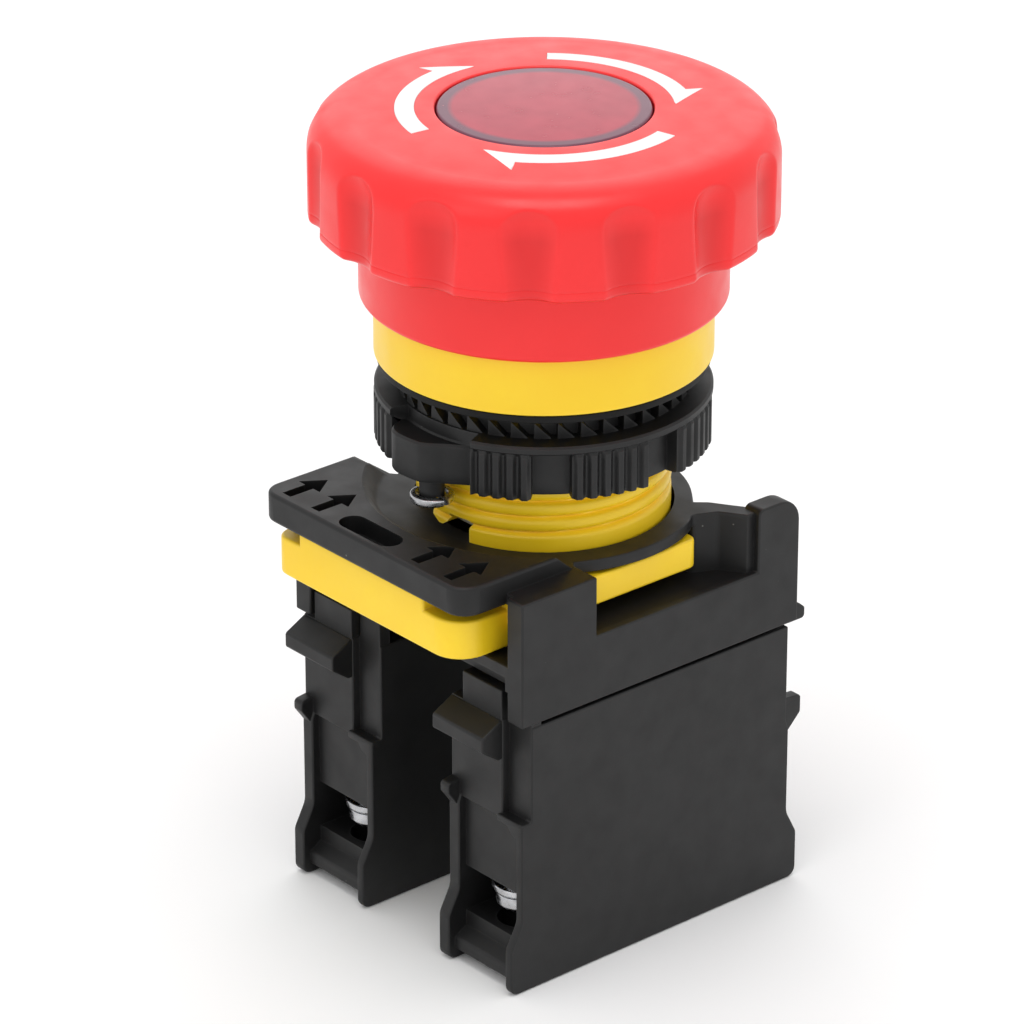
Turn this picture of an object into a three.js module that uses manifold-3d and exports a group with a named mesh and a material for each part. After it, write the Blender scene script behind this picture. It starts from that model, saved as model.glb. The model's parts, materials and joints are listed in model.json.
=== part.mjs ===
// A 22 mm panel-mount emergency stop: 40 mm turn-to-reset mushroom head, yellow
// threaded operator, clamp ring, contact carrier with a locking lever, and two
// screw-terminal contact blocks. Millimetres, +Z up along the operator's axis.
// The origin is on that axis, level with the feet of the contact blocks.
import * as THREE from 'three';
import { mergeVertices } from 'three/addons/utils/BufferGeometryUtils.js';
import Module from 'manifold-3d';

const wasm = await Module();
wasm.setup();

const GAP = 0.3;                 // clearance between pieces that touch
const TRAVEL = 4.5;              // stroke of the head and of both contacts
const ROUND = 40;                // segments of a large round piece
const SMALL = 12;                // segments of a screw or washer
const DEG = Math.PI / 180;

// Heights of the main faces, from the feet up
const BLOCK_TOP = 25.2;
const CARRIER_BOTTOM = 25.5;
const SEAT_BOTTOM = 28.3;        // underside of the carrier's base deck
const SEAT_TOP = 31.6;
const PUSHER_BOTTOM = 30.9;
const BARREL_BOTTOM = 33.1;
const DECK_BOTTOM = 36.0;
const DECK_TOP = 37.1;
const PLATE_TOP = 38.7;
const RING_BOTTOM = 43.3;
const RING_TOP = 48.3;
const TOOTH_TOP = 49.7;
const GASKET_LIP = 50.4;         // sealing lip, against the panel
const PANEL_FACE = 51.2;         // underside of the collar
const COLLAR_TOP = 60.5;
const SKIRT_BOTTOM = 56.5;
const HEAD_BOTTOM = 63.6;
const HEAD_TOP = 73.2;

// Radii about the operator's axis
const HEAD_R = 20;
const SKIRT_R = 15.8;
const COLLAR_R = 14.57;
const RING_R = 14.6;
const THREAD_R = 11.05;          // crest of the 22 mm thread
const THREAD_DEPTH = 0.55;
const THREAD_PITCH = 2;
const BARREL_BORE = 9.5;
const LENS_R = 9.1;
const STEM_R = 6.2;
const STEM_BORE = 4.5;

// Carrier and contact blocks
const HALF_W = 15.19;            // half width of the carrier
const FRONT = -15.5;
const BACK = 16.2;
const WALL_IN = 13.2;            // inner face of the carrier's side walls
const BLOCK_X = { left: -9.7, right: 10.35 };   // centre of each block
const BLOCK_HALF = 4.8;

const FLUTES = 15;
const FLUTE_PHASE = 3.5;
const GRIPS = 8;
const GRIP_PITCH = 42.75;
const GRIP_FIRST = -59.5;
const GRIP_SPAN = 29;
const RIBS = 6;
const TEETH = 40;
const SCREW_AT = [0.8, -13.2];   // the clamp ring's locking screw

const RED = { color: 0xe8262c, roughness: 0.38, metalness: 0 };
const DARK_RED = { color: 0x7c0f22, roughness: 0.25, metalness: 0 };
const WHITE = { color: 0xf4f2ef, roughness: 0.5, metalness: 0 };
const YELLOW = { color: 0xf7c92b, roughness: 0.4, metalness: 0 };
const BLACK = { color: 0x2b2b2c, roughness: 0.55, metalness: 0 };
const RUBBER = { color: 0x161616, roughness: 0.8, metalness: 0 };
const NATURAL = { color: 0xd9d6cc, roughness: 0.5, metalness: 0 };
const STEEL = { color: 0xc9ccd0, roughness: 0.25, metalness: 1 };
const BRASS = { color: 0xc9a14a, roughness: 0.35, metalness: 1 };
const SILVER = { color: 0xdedede, roughness: 0.2, metalness: 1 };

const model = new THREE.Group();

// ---------------------------------------------------------------- helpers

function weld(geometry) {
  const bare = geometry.index ? geometry.toNonIndexed() : geometry.clone();
  bare.deleteAttribute('normal');
  bare.deleteAttribute('uv');
  const welded = mergeVertices(bare, 1e-4);
  const kept = [];
  for (let i = 0; i < welded.index.count; i += 3) {
    const corner = [0, 1, 2].map((k) => welded.index.getX(i + k));
    if (new Set(corner).size === 3) kept.push(...corner);
  }
  welded.setIndex(kept);
  return welded;
}

function signedVolume(geometry) {
  const at = geometry.attributes.position;
  const [a, b, c] = [new THREE.Vector3(), new THREE.Vector3(), new THREE.Vector3()];
  let sum = 0;
  for (let i = 0; i < geometry.index.count; i += 3) {
    a.fromBufferAttribute(at, geometry.index.getX(i));
    b.fromBufferAttribute(at, geometry.index.getX(i + 1));
    c.fromBufferAttribute(at, geometry.index.getX(i + 2));
    sum += a.dot(b.cross(c));
  }
  return sum / 6;
}

// A closed geometry as a manifold solid with its faces pointing out
function solid(geometry) {
  const welded = weld(geometry);
  if (signedVolume(welded) < 0) welded.setIndex([...welded.index.array].reverse());
  return new wasm.Manifold(new wasm.Mesh({
    numProp: 3,
    vertProperties: new Float32Array(welded.attributes.position.array),
    triVerts: new Uint32Array(welded.index.array),
  }));
}

function add(name, body, finish, group = model) {
  const mesh = body.getMesh();
  const geometry = new THREE.BufferGeometry();
  const position = new Float32Array(mesh.vertProperties);
  geometry.setAttribute('position', new THREE.BufferAttribute(position, 3));
  geometry.setIndex(new THREE.BufferAttribute(new Uint32Array(mesh.triVerts), 1));
  geometry.computeVertexNormals();
  const piece = new THREE.Mesh(geometry, new THREE.MeshStandardMaterial(finish));
  piece.name = name;
  group.add(piece);
}

function box([x0, x1], [y0, y1], [z0, z1]) {
  const geometry = new THREE.BoxGeometry(x1 - x0, y1 - y0, z1 - z0);
  return solid(geometry.translate((x0 + x1) / 2, (y0 + y1) / 2, (z0 + z1) / 2));
}

function disc(radius, z0, z1, x = 0, y = 0, segments = ROUND) {
  const geometry = new THREE.CylinderGeometry(radius, radius, z1 - z0, segments);
  return solid(geometry.rotateX(Math.PI / 2).translate(x, y, (z0 + z1) / 2));
}

function tube(outer, inner, z0, z1, segments = ROUND) {
  return disc(outer, z0, z1, 0, 0, segments).subtract(disc(inner, z0 - 1, z1 + 1, 0, 0, segments));
}

// A profile of [radius, z] points turned about the Z axis
function turned(profile, segments = ROUND) {
  const points = profile.map(([r, z]) => new THREE.Vector2(r, z));
  const closesOnAxis = profile[0][0] === 0 && profile.at(-1)[0] === 0;
  if (!closesOnAxis) points.push(points[0].clone());
  return solid(new THREE.LatheGeometry(points, segments).rotateX(Math.PI / 2));
}

function outline(points) {
  return new THREE.Shape(points.map(([x, y]) => new THREE.Vector2(x, y)));
}

// A plan outline raised from z0 to z1
function raised(shape, z0, z1, curveSegments = 8) {
  const options = { depth: z1 - z0, bevelEnabled: false, curveSegments };
  return solid(new THREE.ExtrudeGeometry(shape, options).translate(0, 0, z0));
}

// A side outline of [y, z] points carried from x0 to x1
function carried(points, x0, x1) {
  const options = { depth: x1 - x0, bevelEnabled: false };
  const geometry = new THREE.ExtrudeGeometry(outline(points), options);
  const toYZ = new THREE.Matrix4().makeBasis(
    new THREE.Vector3(0, 1, 0), new THREE.Vector3(0, 0, 1), new THREE.Vector3(1, 0, 0));
  return solid(geometry.applyMatrix4(toYZ).translate(x0, 0, 0));
}

function join(first, ...others) {
  return others.reduce((whole, other) => whole.add(other), first);
}

function cut(first, ...others) {
  return others.reduce((whole, other) => whole.subtract(other), first);
}

function polar(radius, degrees) {
  return [radius * Math.cos(degrees * DEG), radius * Math.sin(degrees * DEG)];
}

function arc(radius, from, to, steps) {
  return Array.from({ length: steps + 1 }, (_, i) => polar(radius, from + (to - from) * i / steps));
}

function roundedRect(x0, x1, y0, y1, r) {
  const shape = new THREE.Shape();
  shape.absarc(x1 - r, y1 - r, r, 0, Math.PI / 2);
  shape.absarc(x0 + r, y1 - r, r, Math.PI / 2, Math.PI);
  shape.absarc(x0 + r, y0 + r, r, Math.PI, Math.PI * 1.5);
  shape.absarc(x1 - r, y0 + r, r, Math.PI * 1.5, Math.PI * 2);
  return shape;
}

class Helix extends THREE.Curve {
  constructor(radius, z0, z1, turns) {
    super();
    Object.assign(this, { radius, z0, z1, turns });
  }

  getPoint(t) {
    const angle = t * this.turns * 2 * Math.PI;
    const z = this.z0 + (this.z1 - this.z0) * t;
    return new THREE.Vector3(this.radius * Math.cos(angle), this.radius * Math.sin(angle), z);
  }
}

// A coil spring between two heights, the wire's ends included
function coil(radius, wire, z0, z1, turns) {
  const path = new Helix(radius, z0 + wire * 1.2, z1 - wire * 1.2, turns);
  const section = outline(arc(wire, 0, 270, 3));
  return solid(new THREE.ExtrudeGeometry(section, { extrudePath: path, steps: turns * 10 }));
}

// ---------------------------------------------------------------- mushroom head

const HEAD_CEILING = 69.9;
const HUB_R = 8.8;
const LENS_SEAT = 70.7;
const SKIRT_FLANGE = COLLAR_TOP + TRAVEL + 0.5;
const ARROW_TAILS = [138, 18, -102];
const SHOULDER_R = 16;           // where the crown turns into the shoulder
const SHOULDER_Z = 69.4;         // where the shoulder meets the straight side
const CROWN_DROP = 0.35;

// Height of the head's domed top at a radius outside the lens
function crownHeight(radius) {
  return HEAD_TOP - CROWN_DROP * ((radius - LENS_R) / (SHOULDER_R - LENS_R)) ** 2;
}

// The shoulder from the crown down to the side, a quarter of a superellipse
function shoulder(steps) {
  const power = 2 / 2.4;
  return Array.from({ length: steps + 1 }, (_, i) => {
    const angle = 90 * DEG * (1 - i / steps);
    return [
      SHOULDER_R + (HEAD_R - SHOULDER_R) * Math.max(Math.cos(angle), 0) ** power,
      SHOULDER_Z + (HEAD_TOP - CROWN_DROP - SHOULDER_Z) * Math.sin(angle) ** power,
    ];
  });
}

function headProfile() {
  return [
    [SKIRT_R + GAP, HEAD_BOTTOM], [HEAD_R - 0.7, HEAD_BOTTOM], [HEAD_R - 0.1, HEAD_BOTTOM + 0.6],
    ...shoulder(7).reverse(), [12.8, crownHeight(12.8)], [LENS_R + GAP, HEAD_TOP],
    [LENS_R + GAP, LENS_SEAT], [STEM_R + GAP, LENS_SEAT], [STEM_R + GAP, 61.2],
    [HUB_R, 61.2], [HUB_R, HEAD_CEILING], [SKIRT_R + GAP, HEAD_CEILING],
  ];
}

// Finger flutes: round-topped scoops round the rim, open at the bottom
function flute(index) {
  const radius = 3.2;
  const depth = 0.9;
  const top = 70.4;
  const scoop = join(
    disc(radius, HEAD_BOTTOM - 1, top, 0, 0, 14),
    solid(new THREE.SphereGeometry(radius, 14, 6).rotateX(Math.PI / 2).translate(0, 0, top)),
  );
  const [x, y] = polar(HEAD_R + radius - depth, FLUTE_PHASE + index * 360 / FLUTES);
  return scoop.translate([x, y, 0]);
}

// A clockwise arrow on the crown, with a half head on its outer side
function arrowShape(tail, grow) {
  const inner = 10.95 - grow;
  const outer = 12.6 + grow;
  const tip = tail - 86;
  return outline([
    ...arc(outer, tail + grow * 5, tip + 16 + grow * 5, 10),
    polar(13.8 + grow * 1.6, tip + 16 + grow * 5),
    polar(11.05, tip - grow * 12),
    ...arc(inner, tip + 3, tail + grow * 5, 10),
  ]);
}

function crownLayer(depth) {
  const radii = [10, 11.5, 13, 14.8];
  const top = radii.map((r) => [r, crownHeight(r)]);
  return turned([...top, [14.8, HEAD_TOP - depth], [10, HEAD_TOP - depth]], 45);
}

function mushroomHead() {
  const flutes = Array.from({ length: FLUTES }, (_, i) => flute(i));
  const recess = (tail) => raised(arrowShape(tail, 0.25), HEAD_TOP - 1.3, HEAD_TOP + 1);
  return cut(turned(headProfile(), 45), ...flutes, ...ARROW_TAILS.map(recess));
}

add('mushroom_head', mushroomHead(), RED);
ARROW_TAILS.forEach((tail, i) => {
  const inlay = raised(arrowShape(tail, 0), HEAD_TOP - 1.1, HEAD_TOP + 1);
  add(`arrow_inlay_${i + 1}`, inlay.intersect(crownLayer(1.0)), WHITE);
});
add('head_skirt', turned([
  [SKIRT_R - 0.9, SKIRT_BOTTOM], [SKIRT_R - 0.35, SKIRT_BOTTOM], [SKIRT_R, SKIRT_BOTTOM + 0.6],
  [SKIRT_R, HEAD_CEILING - GAP], [SKIRT_R - 0.9, HEAD_CEILING - GAP],
  [SKIRT_R - 0.9, SKIRT_FLANGE + 1.5], [HUB_R + GAP, SKIRT_FLANGE + 1.5],
  [HUB_R + GAP, SKIRT_FLANGE], [SKIRT_R - 0.9, SKIRT_FLANGE],
]), RED);

const LENS_RIM = 1.2;
add('lens_cap', turned([
  [0, 72.55], [LENS_R - LENS_RIM, 72.55], [LENS_R - LENS_RIM, LENS_SEAT + GAP],
  [LENS_R, LENS_SEAT + GAP], [LENS_R, HEAD_TOP - 0.2], [LENS_R - 0.2, HEAD_TOP], [0, HEAD_TOP],
]), DARK_RED);
add('lens_diffuser', disc(LENS_R - LENS_RIM - GAP, LENS_SEAT + GAP, 72.2), DARK_RED);

// ---------------------------------------------------------------- operator

const WEB_TOP = 46;
const WEB_BOTTOM = 44;
const THREAD_START = 36;
const THREAD_END = 44;           // the thread is plain above this, inside the ring

function threadProfile() {
  const points = [];
  for (let z = THREAD_START; z < THREAD_END; z += THREAD_PITCH) {
    points.push([THREAD_R - THREAD_DEPTH, z], [THREAD_R, z + 0.7], [THREAD_R, z + 1.3]);
  }
  return points;
}

function operatorHousing() {
  const shell = turned([
    [BARREL_BORE, BARREL_BOTTOM], [THREAD_R - THREAD_DEPTH, BARREL_BOTTOM], ...threadProfile(),
    [THREAD_R - THREAD_DEPTH, THREAD_END], [THREAD_R - THREAD_DEPTH, PANEL_FACE],
    [COLLAR_R, PANEL_FACE], [COLLAR_R, COLLAR_TOP], [12.6, COLLAR_TOP], [12.6, 53.2],
    [BARREL_BORE, 53.2], [BARREL_BORE, WEB_TOP], [STEM_R + GAP, WEB_TOP],
    [STEM_R + GAP, WEB_BOTTOM], [BARREL_BORE, WEB_BOTTOM],
  ]);
  const keyway = raised(outline([...arc(14, -98, -71, 4), ...arc(8, -71, -98, 4)]), 32, 38.6);
  return shell.subtract(keyway);
}

add('operator_housing', operatorHousing(), YELLOW);
add('panel_gasket', turned([
  [THREAD_R + GAP, 50.6], [13.0, 50.6], [13.1, GASKET_LIP], [14.3, GASKET_LIP],
  [14.3, PANEL_FACE - GAP], [THREAD_R + GAP, PANEL_FACE - GAP],
]), RUBBER);
add('stem_seal', tube(9.2, STEM_R + GAP, 41.9, WEB_BOTTOM - GAP), RUBBER);

const PUSHER_TOP = PUSHER_BOTTOM + 2.3;
const SPIGOT_BOTTOM = PUSHER_BOTTOM - 1.3;
const LATCH_Z = [37.4, 39.3];
const LUG_Z = [39.6, 41.5];
const LUG_R = 7.9;

// A ring sector, as a plan outline
function sector(inner, outer, from, to, steps = 4) {
  return outline([...arc(outer, from, to, steps), ...arc(inner, to, from, steps)]);
}

function latchRing() {
  const slots = [0, 180].map((a) => raised(sector(4, LUG_R + 0.4, a - 20, a + 20), 37, 40));
  return cut(tube(9.2, STEM_R + GAP, ...LATCH_Z), ...slots);
}

function pushStem() {
  const shaft = turned([
    [0, SPIGOT_BOTTOM], [3.4, SPIGOT_BOTTOM], [3.4, PUSHER_TOP + GAP], [STEM_R, PUSHER_TOP + GAP],
    [STEM_R, 59.4], [8.5, 59.4],
    [8.5, 60.9], [STEM_R, 60.9], [STEM_R, 69.8], [STEM_BORE, 69.8], [STEM_BORE, 38], [0, 38],
  ], 30);
  const groove = tube(4.4, 2.9, SPIGOT_BOTTOM + 0.3, SPIGOT_BOTTOM + 1.1);
  const lugs = [0, 180].map((a) => raised(sector(5, LUG_R, a - 14, a + 14), ...LUG_Z));
  return join(shaft.subtract(groove), ...lugs);
}

// The plate that presses both contacts; two side ears keep it from turning
function pusherPlate() {
  const z = [PUSHER_BOTTOM, PUSHER_TOP + 1.3];
  const ears = [1, -1].map((s) => box(s > 0 ? [7.5, 9] : [-9, -7.5], [-1.8, 1.8], z));
  const bore = disc(3.4 + GAP, PUSHER_BOTTOM - 1, PUSHER_TOP + 1, 0, 0, 24);
  return cut(join(disc(9.2, PUSHER_BOTTOM, PUSHER_TOP), ...ears), bore);
}

function stemClip() {
  const z = SPIGOT_BOTTOM + 0.5;
  return tube(5.2, 2.9 + 0.15, z, z + 0.4, 20).subtract(box([-1.6, 1.6], [0, 7], [z - 1, z + 1]));
}

add('push_stem', pushStem(), NATURAL);
add('latch_ring', latchRing(), NATURAL);
add('pusher_plate', pusherPlate(), BLACK);
add('stem_clip', stemClip(), STEEL);
add('trip_spring', coil(7.3, 0.55, WEB_TOP + GAP, 59.1, 5), STEEL);

// ---------------------------------------------------------------- clamp ring

const GRIP_RECESS_R = 13.2;
const LUG_TOP = 47.0;

// One group of grip ribs, as points round the ring's edge
function gripPoints(index) {
  const start = GRIP_FIRST + index * GRIP_PITCH - GRIP_SPAN / 2;
  const rib = GRIP_SPAN / RIBS;
  const points = [polar(GRIP_RECESS_R, start)];
  for (let i = 0; i < RIBS; i += 1) {
    const at = start + i * rib;
    points.push(polar(RING_R, at + 0.2), polar(RING_R, at + rib - 1.6));
    if (i < RIBS - 1) points.push(polar(RING_R - 0.45, at + rib - 0.7));
  }
  points.push(polar(GRIP_RECESS_R, start + GRIP_SPAN - 0.7));
  return points;
}

function lug() {
  const edge = [
    [-1.6, -15.2], [1.2, -15.0], [2.0, -14.4], [2.8, -13.6], [4.9, -11.9],
  ];
  return raised(outline([
    ...arc(12.2, -66, -103, 4), polar(RING_R, -103), [-2.5, -14.9], ...edge,
  ]), RING_BOTTOM, LUG_TOP);
}

// The crown: saw teeth that bite the back of the panel
function tooth(index) {
  const pitch = 360 / TEETH;
  const wedge = carried([[0, 0], [1.5, 0], [0.05, TOOTH_TOP - RING_TOP], [0, TOOTH_TOP - RING_TOP]],
    THREAD_R + GAP, 12.8);
  const turn = -62.5 + index * pitch;
  return wedge.translate([0, 0, RING_TOP - 0.05]).rotate([0, 0, turn]);
}

function lockRing() {
  const grips = Array.from({ length: GRIPS }, (_, i) => gripPoints(i)).flat();
  const body = join(
    raised(outline(grips), RING_BOTTOM, RING_TOP - 0.7),
    disc(RING_R - 0.1, RING_TOP - 0.75, RING_TOP),
  );
  const overLug = raised(sector(12.8, 17, -103, -68), LUG_TOP, RING_TOP + 1);
  const teeth = Array.from({ length: TEETH }, (_, i) => tooth(i));
  return cut(
    join(body.subtract(overLug), lug(), ...teeth),
    disc(THREAD_R + GAP, RING_BOTTOM - 1, TOOTH_TOP + 1),
    disc(1.1 + GAP, RING_BOTTOM - 1, LUG_TOP - 0.4, ...SCREW_AT, 16),
  );
}

function lockScrew() {
  const body = turned([
    [0, 41.3], [0.9, 41.2], [1.55, 40.75], [1.9, 41.0], [1.9, 41.9], [1.1, 42.2],
    [1.1, LUG_TOP - 0.9], [0, LUG_TOP - 0.9],
  ], 16);
  return body.subtract(box([-2, 2], [-0.25, 0.25], [40, 41.5])).translate([...SCREW_AT, 0]);
}

add('lock_ring', lockRing(), BLACK);
add('lock_screw', lockScrew(), STEEL);

// ---------------------------------------------------------------- contact carrier

// One side of the deck's plan, from the front window corner to the back of the disc
function deckSide() {
  return [
    [HALF_W, FRONT], [HALF_W, -7.15], ...arc(13.5, -32, 22, 7), [11.6, 6.6], [11.3, 7.6],
    [11.8, 8.8], [12.8, 9.5], [14.6, 10.6], [HALF_W, 11.2], [HALF_W, 14], [14.1, 14],
    [13.9, 12.2], [12.2, 11.0], [10.7, 10.2], [9.2, 9.2],
  ];
}

function mirrored(points) {
  return points.map(([x, y]) => [-x, y]).reverse();
}

function deck() {
  const side = deckSide();
  const edge = [...side, ...arc(12.9, 52, 128, 8), ...mirrored(side)];
  return raised(outline(edge), DECK_BOTTOM, DECK_TOP);
}

// The thin wall that closes the back of each side window
function windowWall(sign) {
  const plan = [
    [11.3, 7.6], [11.8, 8.8], [12.8, 9.5], [14.6, 10.6], [HALF_W, 11.2], [HALF_W, 14],
    [14.1, 14], [13.9, 12.2], [12.2, 11.0], [10.7, 10.2], [9.2, 9.2], [8.7, 8.2], [9.9, 6.8],
  ];
  const points = sign > 0 ? plan : mirrored(plan);
  return raised(outline(points), SEAT_TOP - 0.5, DECK_TOP);
}

function sideWall(sign) {
  const profile = [
    [FRONT, CARRIER_BOTTOM], [BACK, CARRIER_BOTTOM], [BACK, 35.2], [BACK - 0.7, 36.8],
    [BACK - 2.3, 37.5], [11.1, 37.5], [11.1, SEAT_TOP], [-7.15, SEAT_TOP], [-7.15, DECK_TOP],
    [FRONT, DECK_TOP],
  ];
  return sign > 0 ? carried(profile, WALL_IN, HALF_W) : carried(profile, -HALF_W, -WALL_IN);
}

// The label plate's outline arrows point the way the lever locks
function plateArrow(x) {
  return raised(outline([
    [x - 0.55, -19], [x + 0.55, -19], [x + 0.55, -16.4], [x + 1.4, -16.4], [x, -14.2],
    [x - 1.4, -16.4], [x - 0.55, -16.4],
  ]), PLATE_TOP - 1, PLATE_TOP + 1);
}

// Raised front plate: dished round the barrel, engraved with four arrows and a slot
function labelPlate() {
  const plate = raised(roundedRect(-14.1, 12.5, -19.8, -8, 2), DECK_BOTTOM + 0.1, PLATE_TOP);
  const dish = turned([[0, DECK_TOP], [14.2, DECK_TOP], [15.6, PLATE_TOP + 0.01], [0, PLATE_TOP + 0.01]]);
  const slot = raised(roundedRect(-5.2, 1.95, -19.2, -16.7, 1.2), PLATE_TOP - 1.6, PLATE_TOP + 1);
  const arrows = [-11.5, -8, 5.3, 9.2].map(plateArrow);
  return cut(plate, dish, slot, ...arrows);
}

function contactCarrier() {
  const sleeve = raised(sector(THREAD_R + 0.35, 12.9, 48, 132, 8), SEAT_TOP - 0.5, DECK_TOP);
  const plungerSlots = [1, -1].map((s) => {
    const x = s > 0 ? [6.9, WALL_IN] : [-WALL_IN, -6.9];
    return box(x, [-2.4, 2.4], [SEAT_BOTTOM - 1, PUSHER_BOTTOM]);
  });
  return cut(
    join(
      box([-HALF_W, HALF_W], [-13, BACK], [SEAT_BOTTOM, SEAT_TOP]),
      box([-HALF_W, HALF_W], [FRONT, -12.5], [SEAT_BOTTOM - 0.1, 30.65]),
      box([-HALF_W, HALF_W], [BACK - 2, BACK], [CARRIER_BOTTOM, SEAT_TOP]),
      box([-HALF_W, HALF_W], [BACK - 1, BACK + 0.9], [CARRIER_BOTTOM, 26.3]),
      sideWall(1), sideWall(-1), windowWall(1), windowWall(-1), sleeve, deck(), labelPlate(),
    ),
    disc(THREAD_R + GAP, DECK_BOTTOM - 1, DECK_TOP + 1),
    disc(9.7, SEAT_BOTTOM - 1, SEAT_TOP + 1),
    ...plungerSlots,
  );
}

// The locking lever: a grip bar in front, two arms that embrace the barrel
const LEVER_Z = [33.0, DECK_BOTTOM - GAP];
const LEVER_HALF = 12.9;
const BAR_X = [-13.6, 10.4];

function releaseLever() {
  const bar = raised(roundedRect(...BAR_X, -19, -13.4, 2.6), 30.95, LEVER_Z[1]);
  const besideWall = box([-20, -LEVER_HALF], [FRONT - GAP, 0], [30, 40]);
  const ledges = [[6.4, 20], [-20, -10.2]].map((x) => box(x, [-20, -13], [LEVER_Z[1] - 1.2, 40]));
  const arms = raised(roundedRect(-LEVER_HALF, LEVER_HALF, -15, 6.4, 1), ...LEVER_Z);
  const mouth = join(
    disc(THREAD_R + 0.4, 30, 40),
    box([-THREAD_R - 0.4, THREAD_R + 0.4], [0, 10], [30, 40]),
  );
  return cut(join(cut(bar, besideWall, ...ledges), arms), mouth);
}

add('contact_carrier', contactCarrier(), BLACK);
add('release_lever', releaseLever(), YELLOW);

// ---------------------------------------------------------------- contact blocks

const WINDOW_X = [-3.5, 4.0];    // terminal window, between unequal side cheeks
const WINDOW_Z = [4.95, 9.13];
const FACE_Y = -14.7;            // recessed face between the cheeks
const CAVITY_Y = 11.5;
const CAVITY_FLOOR = 11.3;
const WELL_Y = 8.4;              // narrow well for the contact's return spring
const WELL_FLOOR = 3;
const TERMINAL = [0.4, -11.9];   // axis of a terminal screw
const TERMINAL_Z = 9.7;
const CONTACT_Z = 16.7;          // underside of the fixed contacts
const CAP_TOP = 22.8;

// The cheeks' side outline: straight sides, flared feet with rounded corners
function cheekOutline() {
  const half = [
    [0, 0], [15.6, 0], [16.3, 0.3], [16.7, 1.1], [16.7, 4.2], [16.3, 5], [15.5, 6.6],
    [15.5, 15.2], [15.2, 15.9], [15.2, BLOCK_TOP],
  ];
  return [...half, ...mirrored(half).slice(0, -1)];
}

// The cuts that repeat at the front and, turned half round, at the back
function endCuts() {
  const [x0, x1] = WINDOW_X;
  return join(
    box(WINDOW_X, [-20, FACE_Y], [2.1, 15.6]),
    box([2.2, x1], [-20, FACE_Y], [-1, 2.2]),
    box([x0 + 0.1, x1 - 0.1], [-20, -13.2], [2.3, WINDOW_Z[0] + 0.5]),
    box([x0 + 0.05, x1 - 0.05], [-20, -9.3], WINDOW_Z),
    box([x0 + 0.2, x1 - 0.3], [-13.9, -9.2], [8, CAVITY_FLOOR + 1]),
    box([1.9, 6], [-20, -14.4], [16.2, 30]),
    disc(2.0, -1, WINDOW_Z[0] + 1, ...TERMINAL, 16),
  );
}

function blockHousing() {
  const nub = carried([[-15, 14.8], [-15, 17.3], [-16.1, 17.3], [-16.5, 16.9], [-16.5, 16.3], [-15.5, 14.8]],
    -BLOCK_HALF, -3.7);
  const tab = carried([[-15, 21.6], [-15, BLOCK_TOP - 0.1], [-15.3, BLOCK_TOP - 0.1], [-17.4, 24],
    [-17.4, 22.7]], -4.4, 1.7);
  const tongue = box([-2.8, 1.7], [-15.1, -13.6], [BLOCK_TOP - 1, SEAT_BOTTOM - 0.4]);
  const ends = endCuts();
  const shell = cut(
    carried(cheekOutline(), -BLOCK_HALF, BLOCK_HALF), ends, ends.rotate([0, 0, 180]),
    box([-3.9, 3.9], [-CAVITY_Y, CAVITY_Y], [CAVITY_FLOOR, 30]),
    box([-3.9, 3.9], [-WELL_Y, WELL_Y], [WELL_FLOOR, 30]),
  );
  return join(shell, nub, nub.rotate([0, 0, 180]), tab, tongue);
}

function blockCap() {
  const lid = box([-3.6, 3.6], [-11.2, 11.2], [CAP_TOP - 1.5, CAP_TOP]);
  return lid.subtract(box([-2.1, 2.1], [-2.3, 2.3], [CAP_TOP - 3, CAP_TOP + 1]));
}

function plunger() {
  return join(
    box([-1.8, 1.8], [-2, 2], [CONTACT_Z, PUSHER_BOTTOM - 1]),
    box([-2.5, 2.5], [-2, 2], [CAP_TOP + TRAVEL + 1, PUSHER_BOTTOM - GAP]),
  );
}

function fixedContact() {
  const [x, y] = TERMINAL;
  const strip = join(
    box([x - 2.8, x + 2.8], [-13.6, -9.6], [TERMINAL_Z, TERMINAL_Z + 0.8]),
    box([-1.7, 1.7], [-10.4, -9.6], [TERMINAL_Z + 0.7, CONTACT_Z + 0.8]),
    box([-1.7, 1.7], [-10.4, -5.4], [CONTACT_Z, CONTACT_Z + 0.8]),
  );
  return strip.subtract(disc(1.25 + GAP, TERMINAL_Z - 1, TERMINAL_Z + 1.5, x, y, SMALL));
}

function terminalScrew() {
  const body = turned([
    [0, 5.2], [1.7, 5.2], [2.1, 5.6], [2.1, 6.9], [1.25, 6.9], [1.25, 11], [0, 11],
  ], SMALL);
  return body.subtract(box([-3, 3], [-0.3, 0.3], [5, 5.9])).translate([...TERMINAL, 0]);
}

function clampWasher() {
  const profile = [[1.25 + GAP, 7.2], [2.1, 7.2], [2.4, 7.4], [2.4, 8.0], [1.25 + GAP, 8.0]];
  return turned(profile, SMALL).translate([...TERMINAL, 0]);
}

function contactBridge() {
  const tips = [-1, 1].map((s) => disc(1.2, 16, CONTACT_Z - GAP, 0, s * 6, SMALL));
  return join(box([-2, 2], [-7.4, 7.4], [15.2, 16.05]), ...tips);
}

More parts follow.
